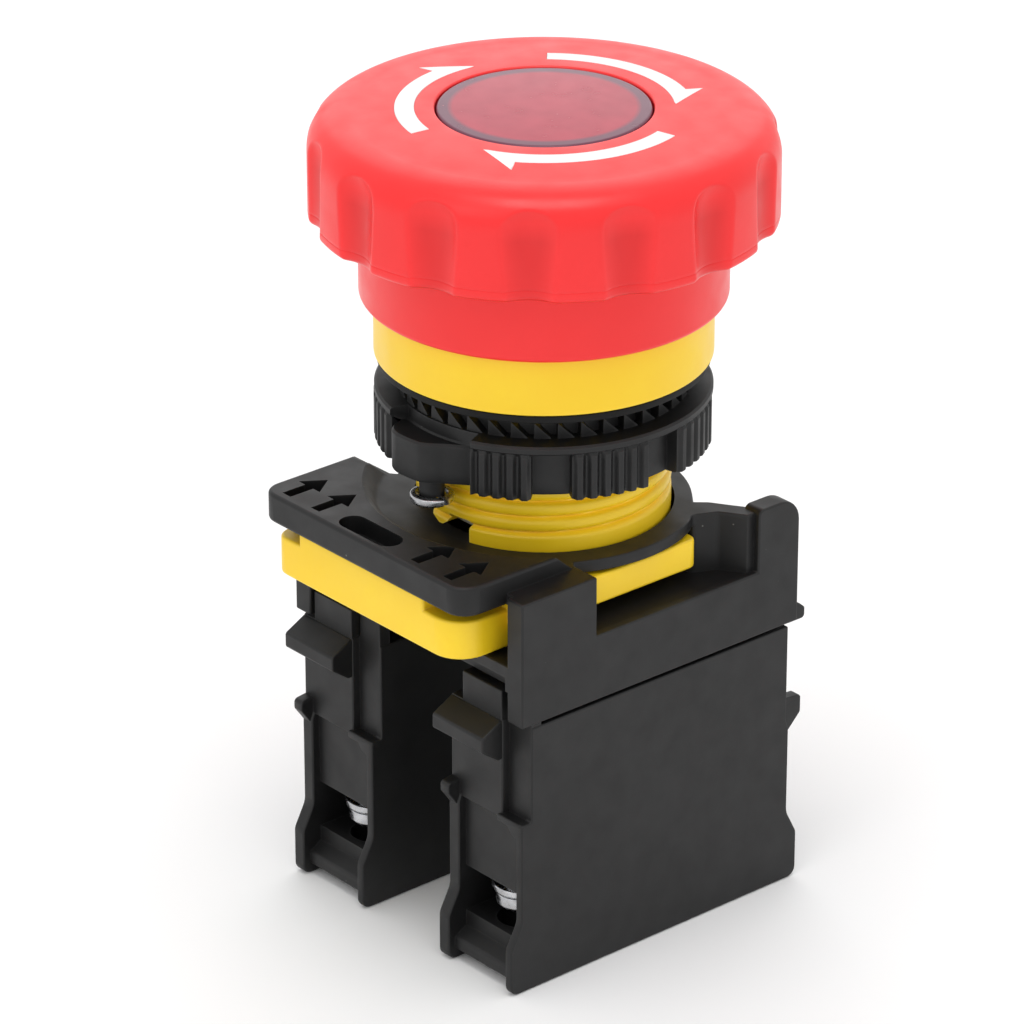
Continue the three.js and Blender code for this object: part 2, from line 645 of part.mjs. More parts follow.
for (const [side, x] of Object.entries(BLOCK_X)) {
  const block = new THREE.Group();
  block.position.x = x;
  model.add(block);
  add(`${side}_block_housing`, blockHousing(), BLACK, block);
  add(`${side}_block_cap`, blockCap(), BLACK, block);
  add(`${side}_plunger`, plunger(), NATURAL, block);
  add(`${side}_contact_bridge`, contactBridge(), SILVER, block);
  add(`${side}_return_spring`, coil(1.9, 0.3, WELL_FLOOR + GAP, 14.9, 6), STEEL, block);
  for (const [end, turn] of [['front', 0], ['rear', 180]]) {
    const spin = [0, 0, turn];
    add(`${side}_${end}_fixed_contact`, fixedContact().rotate(spin), BRASS, block);
    add(`${side}_${end}_terminal_screw`, terminalScrew().rotate(spin), STEEL, block);
    add(`${side}_${end}_clamp_washer`, clampWasher().rotate(spin), STEEL, block);
  }
}

export default model;
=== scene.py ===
"""Finished surfaces of a 22 mm panel-mount emergency stop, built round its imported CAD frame.

Shapes are drawn in millimetres in the frame's own axes: +Z runs up the operator's axis and
the locking lever is on the -Y side. Each piece rides the body of the CAD node it stands for.
"""

import cmath
import json
import math

import bmesh
import bpy
import numpy as np
from mathutils import Matrix, Vector


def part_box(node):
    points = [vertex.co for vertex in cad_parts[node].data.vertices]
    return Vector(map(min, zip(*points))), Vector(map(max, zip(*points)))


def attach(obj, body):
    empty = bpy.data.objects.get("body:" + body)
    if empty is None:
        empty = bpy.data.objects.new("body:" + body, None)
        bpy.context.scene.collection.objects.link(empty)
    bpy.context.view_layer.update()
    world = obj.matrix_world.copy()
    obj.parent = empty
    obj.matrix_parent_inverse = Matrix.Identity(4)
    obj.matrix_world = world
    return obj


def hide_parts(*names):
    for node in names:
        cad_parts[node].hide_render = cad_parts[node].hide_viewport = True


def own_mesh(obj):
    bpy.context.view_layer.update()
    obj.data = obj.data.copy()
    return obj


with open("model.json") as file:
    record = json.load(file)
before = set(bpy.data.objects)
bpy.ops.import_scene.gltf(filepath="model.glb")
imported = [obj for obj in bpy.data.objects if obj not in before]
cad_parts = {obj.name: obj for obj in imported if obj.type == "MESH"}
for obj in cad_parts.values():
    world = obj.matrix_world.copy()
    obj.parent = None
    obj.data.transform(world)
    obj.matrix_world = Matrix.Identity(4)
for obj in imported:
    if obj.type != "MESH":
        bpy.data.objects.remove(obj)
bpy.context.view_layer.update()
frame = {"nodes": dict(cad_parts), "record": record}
record = frame["record"]

MM = 0.001
GAP = 0.12                      # joint line between pieces fixed to each other
BODY = {n: body for body, nodes in record["behaviour"]["bodies"].items() for n in nodes}
SLOT = {part["node"]: part["material_slot"] for part in record["subparts"]}


# ------------------------------------------------------------------ frame sizes

def face(node, axis, side):
    """Where a CAD node's box ends along an axis (0, 1, 2) on its low (0) or high (1) side."""
    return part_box(node)[side][axis] / MM


def floor_of(node):
    return face(node, 2, 0)


def top_of(node):
    return face(node, 2, 1)


def reach(node):
    """A CAD node's largest distance from the operator's axis."""
    return max(v.co.xy.length for v in frame["nodes"][node].data.vertices) / MM


HEAD_R = reach("mushroom_head")
HEAD_TOP = top_of("mushroom_head")
HEAD_BOTTOM = 63.6              # lower edge of the head's side wall
SKIRT_R = reach("head_skirt")
LENS_R = reach("lens_cap")
COLLAR_R = reach("operator_housing")
COLLAR_TOP = top_of("operator_housing")
BARREL_BOTTOM = floor_of("operator_housing")
RING_BOTTOM = floor_of("lock_ring")
CARRIER_BOTTOM = floor_of("contact_carrier")
PLATE_TOP = 38.7                # top of the raised label plate
HALF_W = face("contact_carrier", 0, 1)
FRONT = -15.5                   # front and back faces of the contact carrier
BACK = 16.2


# ------------------------------------------------------------------ outlines

def polar(radius, degrees):
    angle = math.radians(degrees)
    return radius * math.cos(angle), radius * math.sin(angle)


def arc(radius, start, stop, steps):
    return [polar(radius, start + (stop - start) * i / steps) for i in range(steps + 1)]


def rounded(corners, step=0.2):
    """A closed outline. A corner given as (x, y, radius) becomes an arc."""
    outline = []
    for i, corner in enumerate(corners):
        here = complex(*corner[:2])
        radius = corner[2] if len(corner) == 3 else 0
        if not radius:
            outline.append((here.real, here.imag))
            continue
        back = complex(*corners[i - 1][:2]) - here
        ahead = complex(*corners[(i + 1) % len(corners)][:2]) - here
        back, ahead = back / abs(back), ahead / abs(ahead)
        half = abs(cmath.phase(ahead / back)) / 2
        centre = here + (back + ahead) / abs(back + ahead) * radius / math.sin(half)
        first = here + back * radius / math.tan(half) - centre
        last = here + ahead * radius / math.tan(half) - centre
        turn = cmath.phase(last / first)
        steps = max(2, math.ceil(abs(turn) / step))
        for k in range(steps + 1):
            point = centre + first * cmath.exp(1j * turn * k / steps)
            outline.append((point.real, point.imag))
    return outline


def rectangle(x, y, radius=0):
    return rounded([(x[0], y[0], radius), (x[1], y[0], radius),
                    (x[1], y[1], radius), (x[0], y[1], radius)])


def mirrored(points):
    return [(-x, y, *rest) for x, y, *rest in reversed(points)]


# ------------------------------------------------------------------ solids

def solid(points, faces, name="solid"):
    """A mesh object from millimetre points: coincident points joined, faces turned out."""
    mesh = bpy.data.meshes.new(name)
    mesh.from_pydata((np.asarray(points, float) * MM).tolist(), [], faces)
    edit = bmesh.new()
    edit.from_mesh(mesh)
    bmesh.ops.remove_doubles(edit, verts=edit.verts, dist=2e-7)
    loose = [e for e in edit.edges if not e.link_faces]
    bmesh.ops.delete(edit, geom=loose, context="EDGES")
    bmesh.ops.recalc_face_normals(edit, faces=edit.faces)
    edit.to_mesh(mesh)
    edit.free()
    thing = bpy.data.objects.new(name, mesh)
    bpy.context.scene.collection.objects.link(thing)
    return thing


def prism(outline, low, high, along="z", soft=0.0):
    """An outline in the plane across an axis, carried along that axis, its edges rounded."""
    place = {"x": lambda u, v, h: (h, u, v), "y": lambda u, v, h: (u, h, v),
             "z": lambda u, v, h: (u, v, h)}[along]
    n = len(outline)
    points = [place(u, v, h) for h in (low, high) for u, v in outline]
    sides = [(i, (i + 1) % n, n + (i + 1) % n, n + i) for i in range(n)]
    made = solid(points, [*sides, tuple(reversed(range(n))), tuple(range(n, 2 * n))])
    return soften(made, soft) if soft else made


def block(x, y, z, soft=0.0):
    return prism(rectangle(x, y), *z, soft=soft)


def rod(radius, low, high, at=(0, 0), steps=48):
    outline = [(at[0] + x, at[1] + y) for x, y in arc(radius, 0, 360, steps)[:-1]]
    return prism(outline, low, high)


def sector(inner, outer, start, stop, low, high, steps=12):
    outline = arc(outer, start, stop, steps) + arc(inner, stop, start, steps)
    return prism(outline, low, high)


def lathe(profile, segments=144, warp=None, at=(0, 0)):
    """A closed loop of (radius, height) turned about a vertical axis.

    warp(degrees, radius, height) may change the loop at each angle."""
    radius, height = np.array(profile, float).T
    degrees = np.arange(segments) * 360 / segments
    degrees, radius = np.meshgrid(degrees, radius, indexing="ij")
    height = np.broadcast_to(height, radius.shape)
    if warp:
        radius, height = warp(degrees, radius, height)
    angle = np.radians(degrees)
    points = np.stack([at[0] + radius * np.cos(angle), at[1] + radius * np.sin(angle),
                       height], -1).reshape(-1, 3)
    n = len(profile)
    faces = [(j * n + i, j * n + (i + 1) % n, k * n + (i + 1) % n, k * n + i)
             for j, k in ((j, (j + 1) % segments) for j in range(segments)) for i in range(n)]
    return solid(points, faces)


def coil(radius, wire, low, high, turns, at=(0, 0), around=12, along=36):
    """A compression spring of round wire; its end turns lie close together."""
    steps = int(turns * along)
    t = np.linspace(0, 1, steps + 1)
    angle = t * turns * 2 * math.pi
    ease = t - 0.035 * np.sin(2 * math.pi * t)
    height = low + wire + (high - low - 2 * wire) * ease
    u = np.arange(around) * 2 * math.pi / around
    r = radius + wire * np.cos(u)[None, :]
    points = np.stack([at[0] + r * np.cos(angle)[:, None], at[1] + r * np.sin(angle)[:, None],
                       height[:, None] + wire * np.sin(u)[None, :]], -1).reshape(-1, 3)
    faces = [(j * around + i, j * around + (i + 1) % around,
              (j + 1) * around + (i + 1) % around, (j + 1) * around + i)
             for j in range(steps) for i in range(around)]
    ends = [tuple(range(around)), tuple(steps * around + i for i in range(around))]
    return solid(points, faces + ends)


def apply(thing):
    """Turns what the modifiers make into the object's own mesh."""
    view = bpy.context.evaluated_depsgraph_get()
    made = bpy.data.meshes.new_from_object(thing.evaluated_get(view))
    thing.modifiers.clear()
    thing.data = made
    return thing


def combine(base, tools, operation):
    for tool in tools:
        step = base.modifiers.new(operation, "BOOLEAN")
        step.operation, step.object, step.solver = operation, tool, "MANIFOLD"
    apply(base)
    for tool in tools:
        bpy.data.objects.remove(tool)
    return base


def cut(base, *tools):
    return combine(base, tools, "DIFFERENCE")


def join(base, *tools):
    return combine(base, tools, "UNION")


def common(base, tool):
    return combine(base, [tool], "INTERSECT")


def spun(thing, degrees=180):
    """A copy of a solid turned about the vertical axis."""
    twin = thing.copy()
    twin.data = thing.data.copy()
    twin.data.transform(Matrix.Rotation(math.radians(degrees), 4, "Z"))
    bpy.context.scene.collection.objects.link(twin)
    return twin


def copied(thing, x=0.0):
    """A copy of a solid moved along X, in millimetres."""
    twin = thing.copy()
    twin.data = thing.data.copy()
    twin.data.transform(Matrix.Translation((x * MM, 0, 0)))
    bpy.context.scene.collection.objects.link(twin)
    return twin


def soften(thing, width, segments=3, angle=32):
    """Rounds the edges sharper than an angle."""
    edge = thing.modifiers.new("rounded_edges", "BEVEL")
    edge.width = width * MM
    edge.segments = segments
    edge.limit_method = "ANGLE"
    edge.angle_limit = math.radians(angle)
    edge.use_clamp_overlap = False
    return apply(thing)


def shade(thing, angle=35):
    thing.data.shade_smooth()
    thing.data.set_sharp_from_angle(angle=math.radians(angle))
    return thing


def even(thing, angle=40, least_area=1.5, least_width=0.7):
    """Shades a moulded piece smooth with its large flat faces kept flat."""
    shade(thing, angle)
    points = thing.data.vertices
    for polygon in thing.data.polygons:
        corners = [points[i].co for i in polygon.vertices]
        longest = max((a - b).length for a, b in zip(corners, corners[1:] + corners[:1]))
        if polygon.area > max(least_area * MM * MM, least_width * MM * longest):
            polygon.use_smooth = False
    return thing


def clean(thing):
    """Joins corner points that cuts left on top of each other."""
    edit = bmesh.new()
    edit.from_mesh(thing.data)
    bmesh.ops.remove_doubles(edit, verts=edit.verts, dist=6e-7)
    bmesh.ops.dissolve_degenerate(edit, edges=edit.edges, dist=2e-7)
    edit.to_mesh(thing.data)
    edit.free()


def place(thing, node, tag="body"):
    """Makes a solid the shown piece of a CAD node: same body, same material slot."""
    clean(thing)
    thing.name = thing.data.name = f"{node}_{tag}"
    thing.data.materials.clear()
    thing.data.materials.append(MATERIALS[SLOT[node]])
    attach(thing, BODY[node])
    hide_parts(node)
    return thing


# ------------------------------------------------------------------ materials

class Nodes:
    """Short names for building one material's node tree."""

    def __init__(self, name):
        self.material = bpy.data.materials.new(name)
        self.material.use_nodes = True
        self.tree = self.material.node_tree
        self.shader = self.tree.nodes["Principled BSDF"]
        self.place = self.add("ShaderNodeTexCoord").outputs["Object"]

    def add(self, kind, **settings):
        node = self.tree.nodes.new(kind)
        for key, value in settings.items():
            setattr(node, key, value)
        return node

    def link(self, source, target):
        self.tree.links.new(source, target)

    def noise(self, size, detail=2.0, stretch=(1, 1, 1)):
        """A grey cloud whose lumps are about size millimetres across."""
        scale = self.add("ShaderNodeMapping")
        scale.inputs["Scale"].default_value = [s / (size * MM) for s in stretch]
        self.link(self.place, scale.inputs["Vector"])
        cloud = self.add("ShaderNodeTexNoise")
        cloud.inputs["Scale"].default_value = 1.0
        cloud.inputs["Detail"].default_value = detail
        self.link(scale.outputs["Vector"], cloud.inputs["Vector"])
        return cloud.outputs["Fac"]

    def ramp(self, value, low, high, bottom=0.0, top=1.0):
        """Maps low..high of a grey value to bottom..top."""
        step = self.add("ShaderNodeMapRange")
        for key, number in (("From Min", low), ("From Max", high),
                            ("To Min", bottom), ("To Max", top)):
            step.inputs[key].default_value = number
        self.link(value, step.inputs["Value"])
        return step.outputs["Result"]

    def mix(self, share, first, second):
        """first where share is 0, second where it is 1; each a colour or a socket."""
        blend = self.add("ShaderNodeMix", data_type="RGBA")
        self.link(share, blend.inputs["Factor"])
        for socket, value in ((blend.inputs[6], first), (blend.inputs[7], second)):
            if isinstance(value, bpy.types.NodeSocket):
                self.link(value, socket)
            else:
                socket.default_value = (*value, 1)
        return blend.outputs[2]

    def times(self, first, second):
        product = self.add("ShaderNodeMath", operation="MULTIPLY")
        self.link(first, product.inputs[0])
        self.link(second, product.inputs[1])
        return product.outputs[0]

    def specks(self, size, share):
        """Sparse small dots: 1 on a dot and 0 elsewhere."""
        cells = self.add("ShaderNodeTexVoronoi", feature="F1")
        cells.inputs["Scale"].default_value = 1 / (size * MM)
        self.link(self.place, cells.inputs["Vector"])
        pick = self.add("ShaderNodeSeparateColor")
        self.link(cells.outputs["Color"], pick.inputs["Color"])
        chosen = self.ramp(pick.outputs["Red"], 1 - share, 1 - share + 0.001)
        return self.times(chosen, self.ramp(cells.outputs["Distance"], 0.12, 0.06))

    def edges(self, width=0.3):
        """1 within a width in millimetres of an edge and 0 on flats."""
        rounded_off = self.add("ShaderNodeBevel", samples=4)
        rounded_off.inputs["Radius"].default_value = width * MM
        shape = self.add("ShaderNodeNewGeometry")
        same = self.add("ShaderNodeVectorMath", operation="DOT_PRODUCT")
        self.link(rounded_off.outputs["Normal"], same.inputs[0])
        self.link(shape.outputs["Normal"], same.inputs[1])
        return self.ramp(same.outputs["Value"], 0.985, 0.85)

    def radius(self):
        """Distance from the operator's axis, and height."""
        apart = self.add("ShaderNodeSeparateXYZ")
        self.link(self.place, apart.inputs[0])
        flat = self.add("ShaderNodeCombineXYZ")
        self.link(apart.outputs["X"], flat.inputs["X"])
        self.link(apart.outputs["Y"], flat.inputs["Y"])
        length = self.add("ShaderNodeVectorMath", operation="LENGTH")
        self.link(flat.outputs[0], length.inputs[0])
        return length.outputs["Value"], apart.outputs["Z"]

    def flutes(self):
        """1 at the bottom of the head's finger flutes and 0 elsewhere; the painted shade goes
        there.
        """
        radius, height = self.radius()
        sunk = self.ramp(radius, (HEAD_R - 0.8) * MM, (HEAD_R - 0.1) * MM, 1, 0)
        on_side = self.ramp(radius, (SKIRT_R + 0.4) * MM, (SKIRT_R + 0.8) * MM)
        below_shoulder = self.ramp(height, 68.8 * MM, 70.4 * MM, 1, 0)
        return self.times(self.times(sunk, on_side), below_shoulder)

    def bump(self, *layers):
        """Relief from (height socket, depth in millimetres) pairs."""
        normal = None
        for height, depth in layers:
            relief = self.add("ShaderNodeBump")
            relief.inputs["Strength"].default_value = 1.0
            relief.inputs["Distance"].default_value = depth * MM
            self.link(height, relief.inputs["Height"])
            if normal:
                self.link(normal, relief.inputs["Normal"])
            normal = relief.outputs["Normal"]
        self.link(normal, self.shader.inputs["Normal"])

    def set(self, **values):
        for key, value in values.items():
            socket = self.shader.inputs[key.replace("_", " ")]
            if isinstance(value, bpy.types.NodeSocket):
                self.link(value, socket)
            else:
                socket.default_value = (*value, 1) if isinstance(value, tuple) else value


def plastic(name, light, deep, rough, grain, worn=None, painted_flute_shade=None, dust=0.0, specular=0.5,
            **extra):
    """Moulded plastic: soft colour drift, fine texture, and where asked for, edges coloured paler,
    painted shade in the finger flutes, and specks of dust."""
    n = Nodes(name)
    colour = n.mix(n.ramp(n.noise(9, 3), 0.35, 0.65), light, deep)
    colour = n.mix(n.ramp(n.noise(0.5, 2), 0.4, 0.75, 0, 0.35), colour, deep)
    # edges coloured paler within 0.3 mm of each edge
    if worn:
        colour = n.mix(n.edges(), colour, worn)
    # painted shade: the finger flutes are coloured a darker red
    if painted_flute_shade:
        colour = n.mix(n.flutes(), colour, painted_flute_shade)
    if dust:
        colour = n.mix(n.specks(0.9, dust), colour, (0.16, 0.16, 0.155))
    gloss = n.ramp(n.noise(2.5, 4), 0.3, 0.7, rough - 0.05, rough + 0.07)
    n.set(Base_Color=colour, Roughness=gloss, Specular_IOR_Level=specular, **extra)
    n.bump((n.noise(6, 2), 0.012), (n.noise(grain, 3), 0.004))
    return n.material


def metal(name, light, deep, rough, brushed=(1, 1, 1)):
    """Plated or bare metal with fine scratches and a blotchy tone."""
    n = Nodes(name)
    colour = n.mix(n.ramp(n.noise(1.6, 4), 0.35, 0.75), light, deep)
    n.set(Base_Color=colour, Metallic=1.0,
          Roughness=n.ramp(n.noise(0.4, 3, brushed), 0.3, 0.7, rough * 0.7, rough * 1.5))
    n.bump((n.noise(0.12, 2, brushed), 0.002))
    return n.material


def lens(name):
    """Clear crimson plastic, polished; painted shade darkens the outer ring over the thick wall.
    """
    n = Nodes(name)
    colour = n.mix(n.ramp(n.noise(3, 4), 0.35, 0.7), (0.46, 0.028, 0.06), (0.39, 0.022, 0.05))
    # painted shade: the colour turns darker past 7.7 mm from the axis
    painted_ring_shade = n.ramp(n.radius()[0], 7.7 * MM, 8.2 * MM)
    colour = n.mix(painted_ring_shade, colour, (0.16, 0.05, 0.085))
    colour = n.mix(n.specks(0.7, 0.03), colour, (0.55, 0.15, 0.18))
    n.set(Base_Color=colour, Roughness=n.ramp(n.noise(1.5, 4), 0.3, 0.7, 0.18, 0.28),
          Specular_IOR_Level=0.4)
    n.bump((n.noise(0.5, 3), 0.0025))
    return n.material


BLACK = dict(light=(0.0075, 0.0075, 0.0078), deep=(0.005, 0.005, 0.0052),
             worn=(0.02, 0.02, 0.02))
MATERIALS = {
    # red head; its finger flutes get painted shade
    "red_plastic": plastic("red_plastic", (0.94, 0.018, 0.02), (0.9, 0.014, 0.015), 0.34, 0.25,
                           painted_flute_shade=(0.76, 0.008, 0.009)),
    "red_lens": lens("red_lens"),
    "white_inlay": plastic("white_inlay", (0.88, 0.87, 0.86), (0.82, 0.81, 0.8), 0.45, 0.2),
    "yellow_plastic": plastic("yellow_plastic", (1.0, 0.68, 0.014), (0.97, 0.63, 0.01), 0.38, 0.3,
                              worn=(1.0, 0.74, 0.09)),
    "black_plastic": plastic("black_plastic", rough=0.5, grain=0.16, dust=0.025, specular=0.42,
                             **BLACK),
    "rubber": plastic("rubber", (0.006, 0.006, 0.006), (0.004, 0.004, 0.004), 0.62, 0.2,
                      dust=0.04, specular=0.25),
    "natural_plastic": plastic("natural_plastic", (0.72, 0.69, 0.6), (0.64, 0.6, 0.5), 0.42, 0.3,
                               Subsurface_Weight=0.15, Subsurface_Scale=0.001),
    "spring_steel": metal("spring_steel", (0.55, 0.55, 0.56), (0.36, 0.35, 0.34), 0.28),
    "plated_steel": metal("plated_steel", (0.6, 0.61, 0.63), (0.36, 0.36, 0.37), 0.24),
    "brass": metal("brass", (0.78, 0.52, 0.2), (0.55, 0.34, 0.12), 0.3, (1, 6, 1)),
    "contact_silver": metal("contact_silver", (0.86, 0.85, 0.82), (0.66, 0.63, 0.58), 0.24,
                            (6, 1, 1)),
}


# ------------------------------------------------------------------ mushroom head

SHOULDER_R = 16.0
SHOULDER_Z = 69.4
CROWN_DROP = 0.35
SHOULDER_POWER = 2.4
HEAD_CEILING = 69.9
HUB_R = 8.8
LENS_SEAT = 70.7
STEM_CLEAR_R = 6.5
FLUTES = 15
FLUTE_PHASE = 3.5
FLUTE_R = 3.9
FLUTE_DEPTH = (0.65, 0.95)       # at the head's lower edge and from FLUTE_FULL_Z up
FLUTE_FULL_Z = 69.0
FLUTE_TOP = 70.1
PARTING_Z = HEAD_BOTTOM + 1.0


def crown(radius):
    """Height of the slightly domed top outside the lens."""
    return HEAD_TOP - CROWN_DROP * ((radius - LENS_R) / (SHOULDER_R - LENS_R)) ** 2


def head_profile():
    points = [(SKIRT_R + 0.25, HEAD_BOTTOM, 0.25), (HEAD_R, HEAD_BOTTOM, 0.55)]
    side = [HEAD_BOTTOM + 0.8, PARTING_Z - 0.06, PARTING_Z, PARTING_Z + 0.06]
    side += list(np.linspace(PARTING_Z + 0.3, SHOULDER_Z, 16))
    points += [(HEAD_R - (0.03 if z == PARTING_Z else 0), z) for z in side]
    for angle in np.radians(np.linspace(2, 90, 34)):
        u = max(math.cos(angle), 0) ** (2 / SHOULDER_POWER)
        v = math.sin(angle) ** (2 / SHOULDER_POWER)
        points.append((SHOULDER_R + (HEAD_R - SHOULDER_R) * u,
                       SHOULDER_Z + (crown(SHOULDER_R) - SHOULDER_Z) * v))
    points += [(r, crown(r)) for r in np.linspace(15.2, LENS_R + 1, 10)]
    points += [(LENS_R + GAP, HEAD_TOP, 0.22), (LENS_R + GAP, LENS_SEAT),
               (STEM_CLEAR_R, LENS_SEAT, 0.2), (STEM_CLEAR_R, 61.2, 0.2), (HUB_R, 61.2, 0.3),
               (HUB_R, HEAD_CEILING, 0.5), (SKIRT_R + 0.25, HEAD_CEILING, 0.5)]
    return rounded(points)


def smaller(a, b, blend):
    """The smaller of two radii, with the crossing rounded over."""
    share = np.clip((blend - np.abs(a - b)) / blend, 0, 1)
    return np.minimum(a, b) - share * share * blend / 4


def fluted(degrees, radius, height):
    """Presses the round-topped finger flutes into the head's side."""
    pitch = 360 / FLUTES
    off = np.radians((degrees - FLUTE_PHASE + pitch / 2) % pitch - pitch / 2)
    scoop = np.sqrt(np.clip(FLUTE_R ** 2 - np.clip(height - FLUTE_TOP, 0, None) ** 2, 0, None))
    depth = np.interp(height, (HEAD_BOTTOM, FLUTE_FULL_Z), FLUTE_DEPTH)
    centre = HEAD_R + FLUTE_R - depth
    inside = np.clip(scoop ** 2 - (centre * np.sin(off)) ** 2, 0, None)
    wall = centre * np.cos(off) - np.sqrt(inside)
    low_cut = radius - (HEAD_R - smaller(HEAD_R, wall, 0.14))
    made = np.where(height < PARTING_Z + 2, low_cut, smaller(radius, wall, 0.14))
    return np.where(radius > SKIRT_R + 1, made, radius), height


ARROW_TAILS = (138, 18, -102)
ARROW_SWEEP = 86
BARB = 16                       # degrees from the barb to the tip
BAND = (10.95, 12.6)
BARB_R = 14.15


def arrow_outline(tail, grow=0.0):
    """A clockwise arrow on the crown with a half head on its outer side."""
    tip = tail - ARROW_SWEEP
    spread = math.degrees(grow / BAND[0])
    inner = arc(BAND[0] - grow, tip + 2, tail + spread, 40)
    outer = arc(BAND[1] + grow, tail + spread, tip + BARB + spread, 36)
    barb = polar(BARB_R + grow, tip + BARB + spread)
    point = polar(BAND[0] + 0.1 - grow / 2, tip - spread)
    return [*inner, *outer, barb, point]


def mushroom_head():
    head = lathe(head_profile(), 690, fluted)
    recesses = [prism(arrow_outline(tail, 0.03), HEAD_TOP - 1.2, HEAD_TOP + 1)
                for tail in ARROW_TAILS]
    place(shade(cut(head, *recesses), 40), "mushroom_head", "shell")
    for i, tail in enumerate(ARROW_TAILS):
        band = [(r, crown(r) + 0.012) for r in np.linspace(14.6, 10.2, 12)]
        disc = lathe([(10.2, HEAD_TOP - 1.1), (14.6, HEAD_TOP - 1.1), *band], 360)
        inlay = common(disc, prism(arrow_outline(tail), HEAD_TOP - 2, HEAD_TOP + 1))
        place(shade(inlay, 30), f"arrow_inlay_{i + 1}", "fill")


def head_skirt():
    low, high = floor_of("head_skirt"), top_of("head_skirt")
    wall = SKIRT_R - 0.9
    flange = COLLAR_TOP + 5
    profile = rounded([
        (wall, low, 0.15), (SKIRT_R, low, 0.5), (SKIRT_R, high, 0.2), (wall, high, 0.2),
        (wall, flange + 1.5, 0.4), (HUB_R + 0.3, flange + 1.5, 0.2), (HUB_R + 0.3, flange, 0.2),
        (wall, flange, 0.4)])
    place(shade(lathe(profile, 240)), "head_skirt", "shell")


def lens_pieces():
    wall = LENS_R - 1.2
    foot = floor_of("lens_cap")
    ceiling, top = HEAD_TOP - 0.65, HEAD_TOP - 0.03
    cap = rounded([(0, ceiling), (wall, ceiling, 0.2), (wall, foot), (LENS_R, foot, 0.1),
                   (LENS_R, top, 0.28), (0, top)])
    place(shade(lathe(cap, 240)), "lens_cap", "dome")
    low, high, radius = floor_of("lens_diffuser"), top_of("lens_diffuser"), reach("lens_diffuser")
    ridges = [(r, high - 0.12 * (i % 2)) for i, r in enumerate(np.arange(radius - 0.7, 0.6, -0.6))]
    disc = rounded([(0, low), (radius, low, 0.15), (radius, high, 0.15)]) + ridges
    place(shade(lathe(disc + [(0, high)], 160)), "lens_diffuser", "disc")


# ------------------------------------------------------------------ operator

THREAD_R = 11.05
THREAD_DEPTH = 0.55
THREAD_PITCH = 1.45
THREAD_START = 38.81            # height of a groove on the +X side
THREAD_LOW = 38.1
THREAD_HIGH = 49.2
PANEL_FACE = 51.2
BORE_R = 9.5


def threaded(degrees, radius, height):
    """Winds a round-crested thread up the barrel, fading in and out at its ends."""
    turn = (height - THREAD_START) / THREAD_PITCH - degrees / 360
    groove = np.clip(np.abs((turn % 1) - 0.5) * 2, 0, 1) ** 3
    fade = np.clip((height - THREAD_LOW) / 0.4, 0, 1) * np.clip((THREAD_HIGH - height) / 0.6, 0, 1)
    barrel = np.abs(radius - THREAD_R) < 0.01
    return np.where(barrel, radius - THREAD_DEPTH * groove * fade, radius), height


def operator_housing():
    steps = np.linspace(THREAD_LOW, THREAD_HIGH + 0.3, 130)
    profile = rounded([
        (BORE_R, BARREL_BOTTOM, 0.2), (THREAD_R, BARREL_BOTTOM, 0.3),
        *[(THREAD_R, z) for z in steps],
        (THREAD_R, PANEL_FACE, 0.15), (COLLAR_R, PANEL_FACE, 0.18), (COLLAR_R, COLLAR_TOP, 0.35),
        (12.6, COLLAR_TOP, 0.3), (12.6, 53.2, 0.4), (BORE_R, 53.2, 0.3), (BORE_R, 46, 0.3),
        (6.5, 46, 0.2), (6.5, 44, 0.2), (BORE_R, 44, 0.3)])
    shell = lathe(profile, 240, threaded)
    notch = prism([(-12, 30), (2.71, 30), (2.71, 38.95), (0.5, 39), (0.2, 38.1), (-0.4, 37.7),
                   (-0.9, 37.65), (-1.7, 38.05), (-2.4, 38.6), (-12, 38.6)], -13, -7.8, along="y")
    place(shade(cut(shell, notch), 40), "operator_housing", "shell")


def seals():
    low, high = floor_of("panel_gasket"), top_of("panel_gasket")
    outer = reach("panel_gasket")
    gasket = rounded([
        (THREAD_R + 0.3, low + 0.2, 0.08), (13.0, low + 0.2), (13.12, low, 0.06),
        (outer, low, 0.15), (outer, high + 0.2, 0.15), (THREAD_R + 0.3, high + 0.2, 0.1)])
    place(shade(lathe(gasket, 200)), "panel_gasket", "ring")
    low, high = floor_of("stem_seal"), top_of("stem_seal")
    outer = reach("stem_seal")
    lips = rounded([
        (6.35, low, 0.1), (outer, low, 0.25), (outer, high, 0.25), (7.6, high, 0.15),
        (7.2, high - 0.7, 0.2), (6.8, high, 0.1), (6.35, high - 0.3, 0.1),
        (6.75, (low + high) / 2, 0.2)])
    place(shade(lathe(lips, 120)), "stem_seal", "ring")


